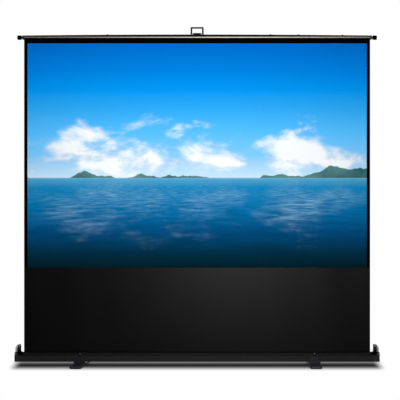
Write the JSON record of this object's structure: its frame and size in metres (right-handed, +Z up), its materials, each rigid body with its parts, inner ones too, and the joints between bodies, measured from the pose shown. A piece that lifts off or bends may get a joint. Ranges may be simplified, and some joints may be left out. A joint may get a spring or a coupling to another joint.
{
  "type": "motorized floor-rising projection screen",
  "caption": "Wide black floor case on swivelling cross feet, with a scissor-raised matt screen cloth, a black drop below the picture, and a top bar that closes the case.",
  "frame": {"origin": "on the floor under the middle of the case, screen raised", "axes": "+X to the right as the audience sees it, -Y towards the audience, +Z up"},
  "size_m": [2.271, 0.4304, 2.116],
  "materials": {
    "case_metal": "fine black powder coat",
    "bar_metal": "satin black anodised",
    "arm_metal": "black anodised flat bar",
    "bare_aluminium": "drawn tube and strip",
    "zinc_steel": "zinc plated",
    "spring_steel": "wound spring wire",
    "moulded_plastic": "fine moulded grain",
    "motor_metal": "black enamel",
    "handle_metal": "dark grey coat",
    "bracket_metal": "blue-black coat",
    "foot_metal": "black powder coat",
    "pad_rubber": "moulded rubber",
    "screen_fabric": "matt projection face with a black border",
    "wound_fabric": "black backed",
    "board": "lacquered circuit board"
  },
  "bodies": {
    "case": {"case_base": "case_metal", "case_front_cover": "case_metal", "case_rear_cover": "case_metal", "end_cap_left": "moulded_plastic", "end_cap_right": "moulded_plastic", "motor_bracket": "zinc_steel", "idler_bracket": "zinc_steel", "tubular_motor": "motor_metal", "control_board": "board", "power_panel": "moulded_plastic", "power_inlet": "moulded_plastic", "lower_fixed_bracket": "zinc_steel", "lower_fixed_pin": "zinc_steel", "lower_guide_rod": "zinc_steel", "lower_rod_plate_inner": "zinc_steel", "lower_rod_plate_outer": "zinc_steel", "foot_bracket_left": "bracket_metal", "foot_bracket_right": "bracket_metal", "foot_pivot_bolt_left": "zinc_steel", "foot_pivot_bolt_right": "zinc_steel", "foot_screw_left": "moulded_plastic", "foot_screw_right": "moulded_plastic", "screen_cloth": "screen_fabric", "lift_spring": "spring_steel"},
    "roller": {"roller_tube": "bare_aluminium", "wound_cloth": "wound_fabric", "motor_drive_wheel": "moulded_plastic", "idler_plug": "moulded_plastic"},
    "lower_front_arm": {"lower_front_arm": "arm_metal", "lower_cross_pin": "zinc_steel", "right_elbow_pin": "zinc_steel"},
    "lower_rear_arm": {"lower_rear_arm": "arm_metal", "left_elbow_pin": "zinc_steel"},
    "upper_front_arm": {"upper_front_arm": "arm_metal", "upper_cross_pin": "zinc_steel"},
    "upper_rear_arm": {"upper_rear_arm": "arm_metal"},
    "lower_slider": {"lower_slider": "moulded_plastic", "lower_slider_pin": "zinc_steel"},
    "upper_slider": {"upper_slider": "moulded_plastic", "upper_slider_pin": "zinc_steel"},
    "top_bar": {"top_bar": "bar_metal", "cloth_clamp_strip": "bare_aluminium", "bar_end_cap_left": "moulded_plastic", "bar_end_cap_right": "moulded_plastic", "end_knob_left": "moulded_plastic", "end_knob_right": "moulded_plastic", "upper_fixed_bracket": "zinc_steel", "upper_fixed_pin": "zinc_steel", "upper_guide_rod": "zinc_steel", "upper_rod_plate_inner": "zinc_steel", "upper_rod_plate_outer": "zinc_steel", "handle_saddle": "handle_metal"},
    "pull_handle": {"pull_handle": "handle_metal"},
    "foot_left": {"foot_left": "foot_metal", "foot_pad_front_left": "pad_rubber", "foot_pad_rear_left": "pad_rubber"},
    "foot_right": {"foot_right": "foot_metal", "foot_pad_front_right": "pad_rubber", "foot_pad_rear_right": "pad_rubber"},
    "rocker_switch": {"rocker_switch": "moulded_plastic"}
  },
  "joints": [
    {"name": "lift", "type": "hinge", "parent": "case", "child": "lower_front_arm", "pos_m": [-0.55911, 0.0105, 0.045], "axis": [0, 1, 0], "range_deg": [0, 40.98], "deforming": ["screen_cloth", "lift_spring"]},
    {"name": "lower_cross", "type": "hinge", "parent": "lower_front_arm", "child": "lower_rear_arm", "pos_m": [0, 0.0105, 0.5449], "axis": [0, 1, 0], "range_deg": [-82, 0]},
    {"name": "left_elbow", "type": "hinge", "parent": "lower_rear_arm", "child": "upper_front_arm", "pos_m": [-0.55911, 0.0105, 1.0448], "axis": [0, 1, 0], "range_deg": [0, 82]},
    {"name": "right_elbow", "type": "hinge", "parent": "lower_front_arm", "child": "upper_rear_arm", "pos_m": [0.55911, 0.0105, 1.0448], "axis": [0, 1, 0], "range_deg": [-82, 0]},
    {"name": "bar_pivot", "type": "hinge", "parent": "upper_rear_arm", "child": "top_bar", "pos_m": [-0.55911, 0.0105, 2.0446], "axis": [0, 1, 0], "range_deg": [0, 41]},
    {"name": "lower_slider_pivot", "type": "hinge", "parent": "lower_rear_arm", "child": "lower_slider", "pos_m": [0.55911, 0.0105, 0.045], "axis": [0, 1, 0], "range_deg": [0, 41]},
    {"name": "upper_slider_pivot", "type": "hinge", "parent": "upper_front_arm", "child": "upper_slider", "pos_m": [0.55911, 0.0105, 2.0446], "axis": [0, 1, 0], "range_deg": [-41, 0]},
    {"name": "roller_spin", "type": "hinge", "parent": "case", "child": "roller", "pos_m": [0, -0.038, 0.05775], "axis": [-1, 0, 0], "range_deg": [0, 5100]},
    {"name": "foot_left_swivel", "type": "hinge", "parent": "case", "child": "foot_left", "pos_m": [-0.731, 0, 0.012], "axis": [0, 0, 1], "range_deg": [0, 94.5]},
    {"name": "foot_right_swivel", "type": "hinge", "parent": "case", "child": "foot_right", "pos_m": [0.731, 0, 0.012], "axis": [0, 0, 1], "range_deg": [-90, 4.5]},
    {"name": "handle_fold", "type": "hinge", "parent": "top_bar", "child": "pull_handle", "pos_m": [0, 0.005, 2.074], "axis": [1, 0, 0], "range_deg": [-90, 90]},
    {"name": "switch_rock", "type": "hinge", "parent": "case", "child": "rocker_switch", "pos_m": [-1.018, 0.066, 0.0495], "axis": [1, 0, 0], "range_deg": [-10, 10]}
  ],
  "couplings": [
    {"joint": "lower_cross", "follows": "lift", "ratio": -2},
    {"joint": "left_elbow", "follows": "lift", "ratio": 2},
    {"joint": "right_elbow", "follows": "lift", "ratio": -2},
    {"joint": "bar_pivot", "follows": "lift", "ratio": 1},
    {"joint": "lower_slider_pivot", "follows": "lift", "ratio": 1},
    {"joint": "upper_slider_pivot", "follows": "lift", "ratio": -1},
    {"joint": "roller_spin", "follows": "lift", "ratio": 124.3}
  ]
}
